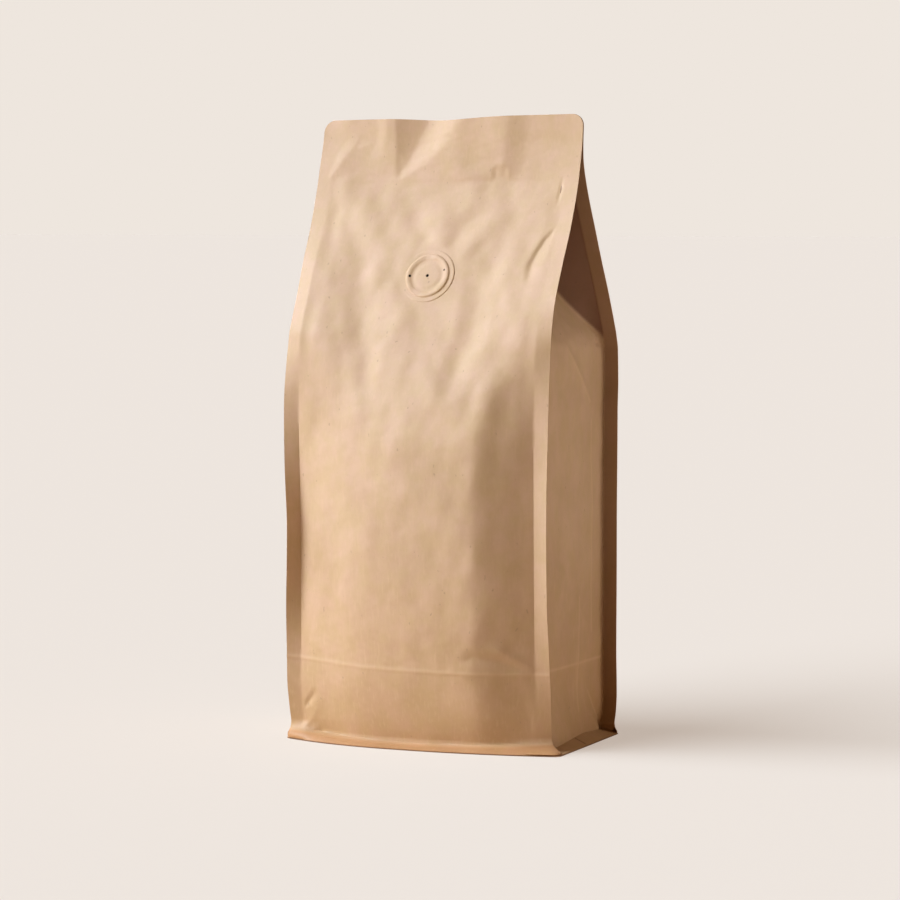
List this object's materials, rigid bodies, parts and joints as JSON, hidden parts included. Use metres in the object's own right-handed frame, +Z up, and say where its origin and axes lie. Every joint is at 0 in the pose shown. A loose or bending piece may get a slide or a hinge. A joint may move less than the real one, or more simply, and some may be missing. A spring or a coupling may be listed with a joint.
{
  "type": "coffee bag",
  "caption": "Filled flat-bottom coffee bag of plain kraft paper laminate with side gussets, a flat top seal, sealed corners and a round one-way valve.",
  "frame": {"origin": "centre of the base, on the surface the bag stands on", "axes": "+Z up towards the top seal, -Y out of the front panel that carries the valve, +X across the width to the viewer's right"},
  "size_m": [0.1224, 0.098, 0.26],
  "materials": {
    "kraft_paper": "matte kraft with a faint sheen",
    "valve_face": "the same kraft laminate, pressed over the valve"
  },
  "bodies": {
    "root": {"pouch": "kraft_paper", "valve": "valve_face"}
  },
  "joints": []
}
